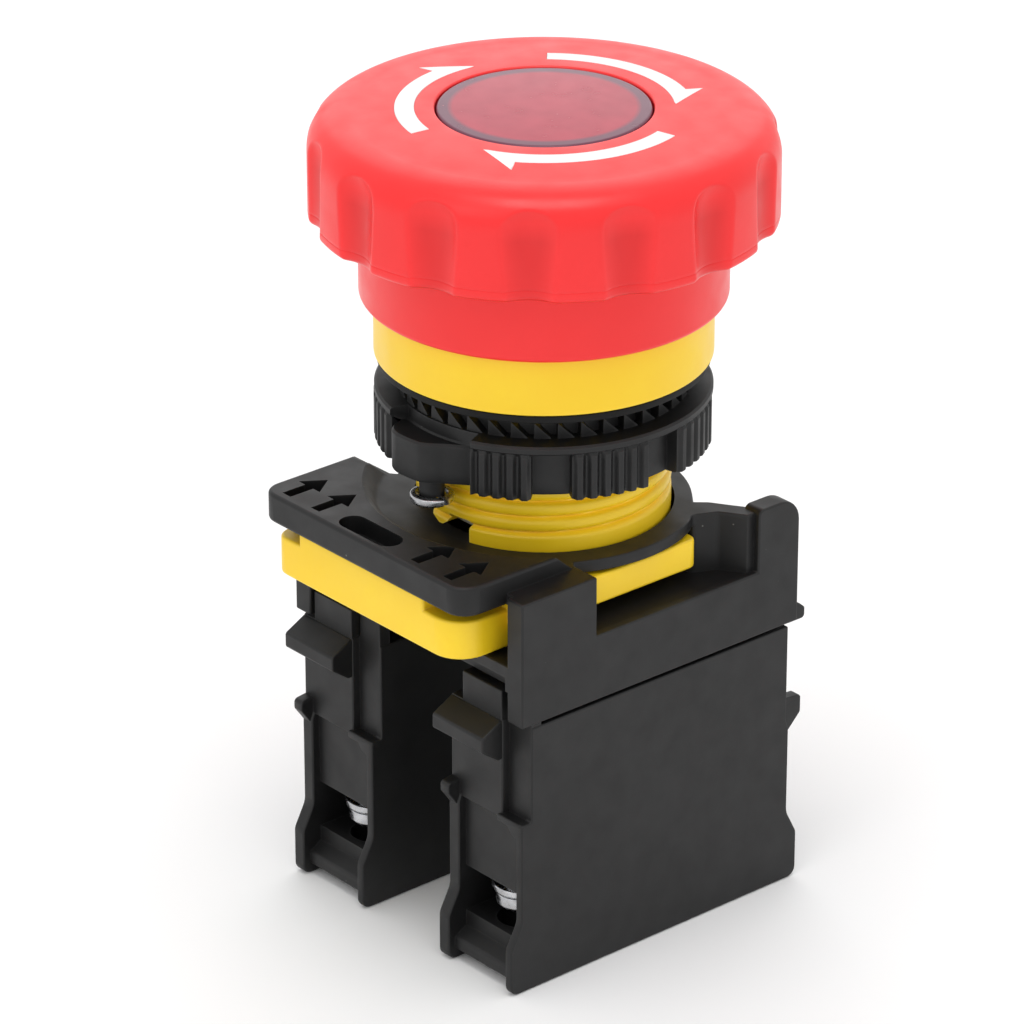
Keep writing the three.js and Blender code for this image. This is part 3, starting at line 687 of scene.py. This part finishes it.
def stem_pieces():
    low = floor_of("push_stem")
    profile = rounded([
        (0, low), (3.4, low, 0.3), (3.4, low + 0.3), (2.9, low + 0.32), (2.9, low + 1.08),
        (3.4, low + 1.1), (3.4, 33.5), (6.2, 33.5, 0.4), (6.2, 59.4, 0.3), (8.5, 59.4, 0.3),
        (8.5, 60.9, 0.3), (6.2, 60.9, 0.3), (6.2, top_of("push_stem"), 0.3),
        (4.5, top_of("push_stem"), 0.3), (4.5, 38, 0.6), (0, 38)])
    lugs = [sector(5, 7.9, a - 14, a + 14, 39.6, 41.5) for a in (0, 180)]
    stem = join(lathe(profile, 96), *lugs)
    place(shade(stem, 30), "push_stem", "shaft")

    low, high = floor_of("latch_ring"), top_of("latch_ring")
    ring = lathe(rounded([(6.5, low, 0.2), (9.2, low, 0.3), (9.2, high, 0.3),
                          (6.5, high, 0.2)]), 96)
    slots = [sector(4, 8.3, a - 20, a + 20, low - 1, high + 1) for a in (0, 180)]
    place(shade(cut(ring, *slots), 30), "latch_ring", "ring")

    low = floor_of("pusher_plate")
    disc = lathe(rounded([(3.7, low, 0.2), (9.2, low, 0.4), (9.2, low + 2.3, 0.3),
                          (3.7, low + 2.3, 0.2)]), 96)
    ears = [prism(rectangle(x, (-1.8, 1.8), 0.4), low + 1, top_of("pusher_plate"))
            for x in ((7.5, 9), (-9, -7.5))]
    place(shade(join(disc, *ears), 30), "pusher_plate", "plate")

    low, high = floor_of("stem_clip"), top_of("stem_clip")
    clip = lathe(rounded([(3.05, low, 0.08), (5.2, low, 0.12), (5.2, high, 0.12),
                          (3.05, high, 0.08)]), 72)
    mouth = prism(rounded([(-1.6, 0), (1.6, 0), (1.9, 7), (-1.9, 7)]), low - 1, high + 1)
    place(shade(cut(clip, mouth), 30), "stem_clip", "ring")


def spring(node, radius, wire, turns, at=(0, 0)):
    """A coil spring of round wire in the CAD spring's place, on the same body."""
    low, high = floor_of(node), top_of(node)
    made = place(shade(coil(radius, wire, low, high, turns, at), 60), node, "coil")
    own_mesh(made)


# ------------------------------------------------------------------ clamp ring

RING_R = 14.6
RIM_R = 14.55
RIM_Z = (47.55, 48.3)
GRIP_RECESS_R = 13.2
GRIPS = 8
GRIP_PITCH = 42.75
GRIP_FIRST = -59.5
GRIP_SPAN = 29
RIBS = 6
LUG_TOP = 47.0
LUG_EDGE = ((-104.5, 13.2), (-103.4, 14.4), (-99.5, 15.1), (-96, 15.28), (-85.4, 15.05),
            (-82.1, 14.54), (-78.4, 13.88), (-69.4, 12.95), (-66, 12.9))
TEETH = 40
TOOTH_SPAN = 6.6                # degrees of each tooth's slope
TOOTH_FIRST = -62.5
TOOTH_OUTER = 12.65
TOOTH_INNER = 11.75
WALL_Z = 49.25                  # top of the thin wall behind the teeth
SCREW_AT = tuple(sum(face("lock_screw", axis, side) for side in (0, 1)) / 2 for axis in (0, 1))


def lock_ring():
    """The panel nut: its section at each angle, from the bore round to the teeth."""
    tooth_top = top_of("lock_ring")
    inner = THREAD_R + 0.3
    loop = [
        (inner + 0.3, RING_BOTTOM), (12.2, RING_BOTTOM), ("edge", RING_BOTTOM, -0.22),
        ("edge", RING_BOTTOM + 0.07, -0.07), ("edge", RING_BOTTOM + 0.22, 0),
        ("edge", 44.5, 0), ("edge", 45.6, 0), ("edge", 46.7, 0),
        "corner", "under", "rim_low", "rim_high", "rim_top", "shelf",
        (TOOTH_OUTER, RIM_Z[1]), "tooth_out", "tooth_in",
        (TOOTH_INNER - 0.05, WALL_Z), (inner, WALL_Z), (inner, RING_BOTTOM + 0.3),
    ]
    segments = 1440
    degrees = np.arange(segments) * 360 / segments - 180
    ribbed = np.full(segments, GRIP_RECESS_R)
    for i in range(GRIPS):
        start = GRIP_FIRST + i * GRIP_PITCH - GRIP_SPAN / 2
        along = (degrees - start) % 360
        inside = along < GRIP_SPAN
        wave = np.abs(np.cos(np.pi * along / (GRIP_SPAN / RIBS)))
        rib = RING_R - 0.4 * np.clip((wave - 0.55) / 0.45, 0, 1) ** 1.3
        ribbed = np.where(inside, rib, ribbed)
    blur = np.hanning(17) / np.hanning(17).sum()
    lug_at = np.convolve(np.interp(degrees, *zip(*LUG_EDGE)), blur, "same")
    lug = (degrees > LUG_EDGE[0][0]) & (degrees < LUG_EDGE[-1][0])
    edge = np.where(lug, lug_at, ribbed)
    in_tooth = (degrees - TOOTH_FIRST) % (360 / TEETH)
    tooth = RIM_Z[1] + (tooth_top - RIM_Z[1]) * np.clip(1 - in_tooth / TOOTH_SPAN, 0, 1)
    named = {
        "corner": (edge, np.where(lug, LUG_TOP - 0.2, RIM_Z[0] - 0.25)),
        "under": (np.where(lug, edge - 0.2, RIM_R - 0.12), np.where(lug, LUG_TOP, RIM_Z[0])),
        "rim_low": (np.where(lug, 13.0, RIM_R), np.where(lug, LUG_TOP, RIM_Z[0] + 0.15)),
        "rim_high": (np.where(lug, 12.86, RIM_R), np.where(lug, LUG_TOP + 0.15, RIM_Z[1] - 0.18)),
        "rim_top": (np.where(lug, 12.86, RIM_R - 0.18), np.where(lug, RIM_Z[1] - 0.1, RIM_Z[1])),
        "shelf": (np.where(lug, 12.86, 12.96), np.full(segments, RIM_Z[1])),
        "tooth_out": (np.full(segments, TOOTH_OUTER - 0.05), tooth),
        "tooth_in": (np.full(segments, TOOTH_INNER), tooth),
    }
    rows = []
    for item in loop:
        if isinstance(item, str):
            radius, height = named[item]
        elif item[0] == "edge":
            radius, height = edge + item[2], np.full(segments, item[1])
        else:
            radius, height = (np.full(segments, float(v)) for v in item)
        rows.append((radius, height))
    radius = np.stack([row[0] for row in rows], 1)
    height = np.stack([row[1] for row in rows], 1)
    ring = lathe([(0, 0)] * len(loop), segments,
                 lambda *_: (np.roll(radius, segments // 2, 0), np.roll(height, segments // 2, 0)))
    hole = rod(1.1, RING_BOTTOM - 1, 46.5, SCREW_AT, 24)
    low, high = floor_of("lock_screw") + 0.95, RING_BOTTOM + 0.5
    boss = lathe([(0.97, low), (1.08, low), (1.12, high), (0.97, high)], 48, at=SCREW_AT)
    place(shade(join(cut(ring, hole), boss), 32), "lock_ring", "nut")


def lock_screw():
    low, high = floor_of("lock_screw"), top_of("lock_screw")
    profile = rounded([
        (0, low + 0.6), (0.95, low + 0.55, 0.1), (1.4, low + 0.15, 0.15), (1.9, low + 0.4, 0.25),
        (1.9, low + 1.0, 0.2), (1.4, low + 1.1, 0.15), (1.2, low + 0.85, 0.12),
        (0.9, low + 0.85, 0.1), (0.9, high, 0.1), (0, high)])
    head = lathe(profile, 64, at=SCREW_AT)
    x, y = SCREW_AT
    slot = block((x - 2.2, x + 2.2), (y - 0.25, y + 0.25), (low - 1, low + 1.1))
    place(shade(cut(head, slot), 32), "lock_screw", "screw")


# ------------------------------------------------------------------ contact carrier

SEAT_BOTTOM = 28.3
SEAT_TOP = 31.6
DECK_BOTTOM = 36.0
DECK_TOP = 37.1
WALL_IN = 13.2
WALL_MID = 14.5                 # inner pieces of the carrier end inside its side walls
DISC_R = 13.5
WINDOW_FRONT = -7.15
EAR_FRONT = 11.4
WALL_FACE = [(11.3, 7.0, 0.8), (12.3, 9.2, 0.9), (WALL_MID, 10.65)]
WALL_BACK = [(WALL_MID, 13.6), (13.7, 12.2, 0.8), (11.9, 11.0, 2.0), (10.3, 10.0, 1.2)]


def deck_outline():
    side = [(WALL_MID, FRONT + 0.6), (WALL_MID, WINDOW_FRONT - 0.5), (13.9, WINDOW_FRONT),
            (12.2, WINDOW_FRONT), *arc(DISC_R, -30, 28, 14), *WALL_FACE, *WALL_BACK, (9.4, 9.0)]
    return rounded([*side, *arc(12.9, 52, 128, 20), *mirrored(side)])


def window_wall(sign):
    plan = [*WALL_FACE, *WALL_BACK, (9.0, 9.3), (8.6, 8.2), (9.9, 6.8)]
    outline = rounded(plan if sign > 0 else mirrored(plan))
    return prism(outline, SEAT_TOP - 0.5, DECK_TOP - 0.3)


def side_wall(sign):
    profile = rounded([
        (FRONT, CARRIER_BOTTOM), (BACK, CARRIER_BOTTOM), (BACK, 37.5, 2.2), (EAR_FRONT, 37.5, 0.6),
        (EAR_FRONT, SEAT_TOP), (WINDOW_FRONT, SEAT_TOP), (WINDOW_FRONT, DECK_TOP),
        (FRONT, DECK_TOP)])
    x = (WALL_IN, HALF_W) if sign > 0 else (-HALF_W, -WALL_IN)
    return prism(profile, *x, along="x", soft=0.17)


def plate_arrow(x):
    return prism([
        (x - 0.55, -18.9), (x + 0.55, -18.9), (x + 0.55, -16.4), (x + 1.45, -16.4), (x, -14.3),
        (x - 1.45, -16.4), (x - 0.55, -16.4)], PLATE_TOP - 1.1, PLATE_TOP + 1)


def label_plate():
    """The raised front plate, dished round the barrel, with four arrows and a slot."""
    outline = rounded([(-14.45, -19.8, 1.8), (12.5, -19.8, 2.0), (12.5, -7.4), (-14.45, -7.4)])
    plate = prism(outline, DECK_BOTTOM, PLATE_TOP, soft=0.33)
    dish = lathe([(0, DECK_TOP + 0.01), (14.2, DECK_TOP + 0.01), (14.6, DECK_TOP + 0.2),
                  (15.3, PLATE_TOP - 0.2), (15.8, PLATE_TOP + 0.05), (15.8, PLATE_TOP + 1),
                  (0, PLATE_TOP + 1)], 240)
    ends = prism([(-9.9, PLATE_TOP + 0.05), (-9.3, PLATE_TOP - 0.15), (-8.0, DECK_TOP + 0.3),
                  (-7.6, DECK_TOP + 0.01), (-5, DECK_TOP + 0.01), (-5, PLATE_TOP + 1),
                  (-9.9, PLATE_TOP + 1)], -20, 20, along="x")
    slot = prism(rectangle((-5.2, 1.95), (-19.2, -16.7), 1.24), PLATE_TOP - 1.7, PLATE_TOP + 1)
    return cut(plate, dish, ends, slot, *map(plate_arrow, (-11.9, -8, 5.3, 9.5)))


def contact_carrier():
    sleeve = sector(THREAD_R + 0.35, 12.9, 48, 132, SEAT_TOP - 0.5, DECK_TOP - 0.3, 24)
    inside = (-WALL_MID, WALL_MID)
    body = join(
        block(inside, (-13, BACK - 0.5), (SEAT_BOTTOM, SEAT_TOP), soft=0.12),
        block(inside, (FRONT, -12.5), (SEAT_BOTTOM - 0.1, 30.65), soft=0.17),
        block(inside, (BACK - 2, BACK), (CARRIER_BOTTOM, SEAT_TOP), soft=0.17),
        prism(rounded([(BACK - 1, 25.5), (17.1, 25.5, 0.35), (17.1, 26.5, 0.35), (16.4, 27.1, 0.3),
                       (BACK - 1, 27.1)]), 0.1 - HALF_W, HALF_W - 0.1, along="x"),
        side_wall(1), side_wall(-1), window_wall(1), window_wall(-1), sleeve,
        prism(deck_outline(), DECK_BOTTOM, DECK_TOP, soft=0.14), label_plate())
    pockets = [block(x, (-2.4, 2.4), (SEAT_BOTTOM - 1, 30.9))
               for x in ((6.9, WALL_IN), (-WALL_IN, -6.9))]
    pockets.append(block((-13, 13), (FRONT - 1, -14.4), (SEAT_BOTTOM - 1, 29.6)))
    body = cut(body, rod(THREAD_R + 0.3, DECK_BOTTOM - 1, DECK_TOP + 1, steps=120),
               rod(9.7, SEAT_BOTTOM - 1, SEAT_TOP + 1, steps=96), *pockets)
    key = sector(9.8, THREAD_R + 0.5, -127, -76.3, 32.5, DECK_TOP - 0.1, 24)
    place(even(join(body, key)), "contact_carrier", "housing")


def release_lever():
    half = 12.9
    left, right = face("release_lever", 0, 0), 10.85
    front, back = face("release_lever", 1, 0), face("release_lever", 1, 1)
    low, high = floor_of("release_lever"), top_of("release_lever")
    ledge = high - 1.2
    bar = prism(rounded([(left, front, 1.5), (right, front, 2.9), (right, -13.1, 0.3),
                         (-half, -13.4), (-half, -15.8, 0.3), (left, -15.8, 0.3)]),
                low, ledge, soft=0.25)
    raised = block((-10.2, 6.4), (front, -14), (low + 1, high), soft=0.25)
    arms = prism(rectangle((-half, half), (-13.4, back), 0.9), 33, high, soft=0.25)
    gap = THREAD_R + 0.4
    mouth = prism([*arc(gap, 180, 360, 48), (gap, 12), (-gap, 12)], low - 1, high + 1)
    place(even(cut(join(bar, raised, arms), mouth)), "release_lever", "lever")


# ------------------------------------------------------------------ contact blocks

BLOCK_HALF = 4.8
BLOCK_TOP = 25.2
CHEEK_Y = -15.5
FACE_Y = -15.2                  # flat face above the terminal
RECESS_Y = -14.7                # face between the side cheeks
NOTCH_Y = -14.4
NOTCH_X = 1.9
NOTCH_Z = 16.2
WINDOW_X = (-3.5, 4.0)
WINDOW_Z = (4.4, 8.85)
CAVITY_Y = 11.5
CAVITY_FLOOR = 11.3
WELL_Y = 8.4
WELL_FLOOR = 3.0
TERMINAL = (0.4, -11.9)
TERMINAL_Z = 9.7
CONTACT_Z = 16.7


def cheek(x, notched_end):
    """A side cheek with flared, rounded feet; one end is cut back above the terminal."""
    foot = [(-16.7, 0, 0.9), (-16.7, 4.4, 1.2), (CHEEK_Y, 6.7, 1.8)]
    plain = [*foot, (CHEEK_Y, 15.2, 0.5), (FACE_Y, 16, 0.4), (FACE_Y, BLOCK_TOP)]
    notched = [*foot, (CHEEK_Y, NOTCH_Z, 0.3), (NOTCH_Y, NOTCH_Z, 0.2), (NOTCH_Y, BLOCK_TOP)]
    front, back = (notched, plain) if notched_end == "front" else (plain, notched)
    return prism(rounded(front + mirrored(back)), *x, along="x", soft=0.16)


def front_pieces():
    """What stands proud of both ends; turned half round it serves the back."""
    upper = block((-4.2, NOTCH_X), (FACE_Y, -13), (15.7, BLOCK_TOP), soft=0.16)
    strap = prism(rounded([(1.5, 15.5), (2.9, 15.5, 0.3), (3.3, 14.9, 0.4), (4.5, 14.5),
                           (4.5, NOTCH_Z), (1.5, NOTCH_Z)]), CHEEK_Y, -13.5, along="y", soft=0.14)
    bar = prism(rounded([(-16.0, 0.9, 0.35), (-16.0, 2.2, 0.4), (-14.6, 3.0, 0.5), (-13.4, 4.3),
                         (-13.4, 0.9)]), -4.2, 4.3, along="x")
    return [upper, strap, bar]


def hook(out, top):
    """The small catch on a block's left front edge, out to -Y and up to a height."""
    profile = [(-14.8, 14.6), (-15.5, 14.9, 0.4), (-out, 16.3, 0.4), (-out, top - 0.2, 0.4),
               (-14.8, top)]
    return prism(rounded(profile), -BLOCK_HALF + 0.02, -3.7, along="x", soft=0.12)


def latch_tab():
    profile = rounded([(-14, 21.4), (-15.6, 21.4, 0.3), (-17.4, 22.7, 0.3), (-17.4, 24.0, 0.35),
                       (-15.3, BLOCK_TOP - 0.1), (-14, BLOCK_TOP - 0.1)])
    return prism(profile, -4.7, 1.85, along="x", soft=0.12)


def block_housing():
    """A contact block about its own centre line."""
    core = prism([(-RECESS_Y, 2.2), (-RECESS_Y, 15.9), (-NOTCH_Y, 15.9), (-NOTCH_Y, BLOCK_TOP),
                  (NOTCH_Y, BLOCK_TOP), (NOTCH_Y, 15.9), (RECESS_Y, 15.9), (RECESS_Y, 2.2)],
                 -4.2, 4.4, along="x", soft=0.14)
    base = block((-4.2, 4.4), (-12.6, 12.6), (0.25, 3))
    front = front_pieces()
    rear_hook = hook(16.9, 18.2)
    rear_hook.data.transform(Matrix.Rotation(math.pi, 4, "Z"))
    shell = join(core, base, cheek((-BLOCK_HALF, -3.5), "back"), cheek((4.0, BLOCK_HALF), "front"),
                 *front, *map(spun, front), latch_tab(), hook(16.5, 17.4), rear_hook,
                 block((-3.3, 1.8), (-15.2, -13.6), (BLOCK_TOP - 1, 27.9), soft=0.12),
                 block((2.0, 4.7), (NOTCH_Y, -13.2), (BLOCK_TOP - 1, 27.9), soft=0.12))
    ends = [
        block((WINDOW_X[0], WINDOW_X[1]), (-20, -9.3), WINDOW_Z),
        block((WINDOW_X[0] + 0.1, WINDOW_X[1] - 0.3), (-13.9, -9.2), (8, CAVITY_FLOOR + 1)),
        rod(2.0, -1, WINDOW_Z[0] + 1, TERMINAL, 32),
    ]
    hollow = [block((-3.9, 3.9), (-CAVITY_Y, CAVITY_Y), (CAVITY_FLOOR, 30)),
              block((-3.9, 3.9), (-WELL_Y, WELL_Y), (WELL_FLOOR, 30))]
    return cut(shell, *ends, *[spun(tool) for tool in ends], *hollow)


def block_cap():
    top = 22.8
    return cut(block((-3.6, 3.6), (-11.2, 11.2), (top - 1.5, top), soft=0.15),
               block((-2.1, 2.1), (-2.3, 2.3), (top - 3, top + 1)),
               *[block((-2.6, 2.6), (y - 0.4, y + 0.4), (top - 0.4, top + 1)) for y in (-7, 7)])


def plunger():
    low, high = 16.7, floor_of("pusher_plate") - 0.3
    return join(block((-1.8, 1.8), (-2, 2), (low, high - 0.5), soft=0.18),
                block((-2.5, 2.5), (-2, 2), (28.3, high), soft=0.18))


def fixed_contact():
    x, y = TERMINAL
    strip = prism(rounded([
        (-13.6, TERMINAL_Z, 0.1), (-9.6, TERMINAL_Z, 0.9), (-9.6, CONTACT_Z, 0.15),
        (-5.4, CONTACT_Z, 0.1), (-5.4, CONTACT_Z + 0.8, 0.1), (-10.4, CONTACT_Z + 0.8, 0.9),
        (-10.4, TERMINAL_Z + 0.8, 0.1), (-13.6, TERMINAL_Z + 0.8, 0.1)]),
        x - 2.8, x + 2.8, along="x", soft=0.08)
    sides = [block(beyond, (-12, 0), (TERMINAL_Z + 0.9, 30)) for beyond in ((1.7, 6), (-6, -1.7))]
    return cut(strip, rod(1.55, TERMINAL_Z - 1, TERMINAL_Z + 1.5, (x, y), 24), *sides)


def terminal_screw():
    x, y = TERMINAL
    profile = rounded([
        (0, 5.6), (1.5, 5.55, 0.3), (2.1, 6.1, 0.3), (2.1, 7.1, 0.12), (1.25, 7.1, 0.1)])
    thread = [(1.25 - 0.14 * (i % 2), 7.1 + i * 0.26) for i in range(15)]
    screw = lathe(profile + thread + [(0.9, 11), (0, 11)], 40, at=TERMINAL)
    slots = [block((x - 3, x + 3), (y - 0.28, y + 0.28), (4.5, 6.25)),
             block((x - 0.28, x + 0.28), (y - 1.1, y + 1.1), (4.5, 6.1))]
    return cut(screw, *slots)


def clamp_washer():
    return lathe(rounded([(1.55, 7.2, 0.1), (2.15, 7.2, 0.15), (2.4, 7.45, 0.15), (2.4, 8.0, 0.15),
                          (1.55, 8.0, 0.1)]), 48, at=TERMINAL)


def contact_bridge():
    bar = prism(rounded([(-2, -7.4, 0.7), (2, -7.4, 0.7), (2, 7.4, 0.7), (-2, 7.4, 0.7)]),
                15.2, 16.05, soft=0.08)
    tips = [lathe(rounded([(0, 16), (1.2, 16), (1.2, 16.25, 0.1), (0.7, CONTACT_Z - 0.3, 0.1),
                           (0, CONTACT_Z - 0.3)]), 32, at=(0, y)) for y in (-6, 6)]
    return join(bar, *tips)


def contact_blocks():
    kinds = {"block_housing": (block_housing, "shell"), "block_cap": (block_cap, "lid"),
             "plunger": (plunger, "slider"), "contact_bridge": (contact_bridge, "bar")}
    ends = {"fixed_contact": (fixed_contact, "strip"), "terminal_screw": (terminal_screw, "screw"),
            "clamp_washer": (clamp_washer, "washer")}
    models = {kind: make() for kind, (make, _) in {**kinds, **ends}.items()}
    for side in ("left", "right"):
        centre = (face(f"{side}_block_cap", 0, 0) + face(f"{side}_block_cap", 0, 1)) / 2
        for kind, (_, tag) in kinds.items():
            place(even(copied(models[kind], centre)), f"{side}_{kind}", tag)
        for kind, (_, tag) in ends.items():
            for end, turn in (("front", 0), ("rear", 180)):
                twin = spun(models[kind], turn)
                twin.data.transform(Matrix.Translation((centre * MM, 0, 0)))
                place(even(twin), f"{side}_{end}_{kind}", tag)
        spring(f"{side}_return_spring", 1.9, 0.3, 7, at=(centre, 0))
    for model in models.values():
        bpy.data.objects.remove(model)


# ------------------------------------------------------------------ studio

AZIMUTH = 49.34
ELEVATION = 25.49
DISTANCE = 489.2
TARGET_Z = 35.49
TARGET_ASIDE = -2.72
LENS_MM = 198.48


def view_axes():
    azimuth, elevation = math.radians(AZIMUTH), math.radians(ELEVATION)
    back = Vector((math.sin(azimuth) * math.cos(elevation),
                   -math.cos(azimuth) * math.cos(elevation), math.sin(elevation)))
    return back, Vector((math.cos(azimuth), math.sin(azimuth), 0))


def camera():
    back, right = view_axes()
    data = bpy.data.cameras.new("camera")
    data.lens = LENS_MM
    data.clip_start, data.clip_end = 0.01, 20
    thing = bpy.data.objects.new("camera", data)
    target = right * TARGET_ASIDE + Vector((0, 0, TARGET_Z))
    thing.location = (target + back * DISTANCE) * MM
    thing.rotation_mode = "QUATERNION"
    thing.rotation_quaternion = (-back).to_track_quat("-Z", "Y")
    bpy.context.scene.collection.objects.link(thing)
    bpy.context.scene.camera = thing


def softbox(name, azimuth, elevation, distance, size, power):
    """A soft square light aimed at the middle of the object."""
    data = bpy.data.lights.new(name, "AREA")
    data.shape, data.size, data.energy = "SQUARE", size, power
    thing = bpy.data.objects.new(name, data)
    a, e = math.radians(azimuth), math.radians(elevation)
    out = Vector((math.sin(a) * math.cos(e), -math.cos(a) * math.cos(e), math.sin(e)))
    thing.location = out * distance + Vector((0, 0, 0.04))
    thing.rotation_euler = out.to_track_quat("Z", "Y").to_euler()
    thing.visible_camera = False
    bpy.context.scene.collection.objects.link(thing)


def studio():
    world = bpy.data.worlds.new("studio")
    bpy.context.scene.world = world
    world.use_nodes = True
    world.node_tree.nodes["Background"].inputs["Color"].default_value = (1, 1, 1, 1)
    world.node_tree.nodes["Background"].inputs["Strength"].default_value = 0.86
    softbox("key_left", 5, 40, 0.7, 0.35, 0.3)
    softbox("sheen", AZIMUTH + 180, 32, 0.8, 0.7, 0.95)
    softbox("overhead", AZIMUTH, 80, 0.9, 0.45, 2.1)

    n = Nodes("pale_floor")
    tint = n.mix(n.ramp(n.noise(90, 3), 0.3, 0.7), (0.97, 0.97, 0.97), (0.95, 0.95, 0.95))
    n.set(Base_Color=tint, Roughness=0.85)
    n.bump((n.noise(1.5, 3), 0.01))
    floor = prism(arc(2500, 0, 360, 96)[:-1], -3.2, floor_of("left_block_housing") - 0.05)
    floor.name = "floor"
    floor.data.materials.append(n.material)
    bpy.context.scene.view_settings.view_transform = "Standard"


mushroom_head()
head_skirt()
lens_pieces()
operator_housing()
seals()
stem_pieces()
spring("trip_spring", 7.3, 0.55, 5)
lock_ring()
lock_screw()
contact_carrier()
release_lever()
contact_blocks()
studio()
camera()
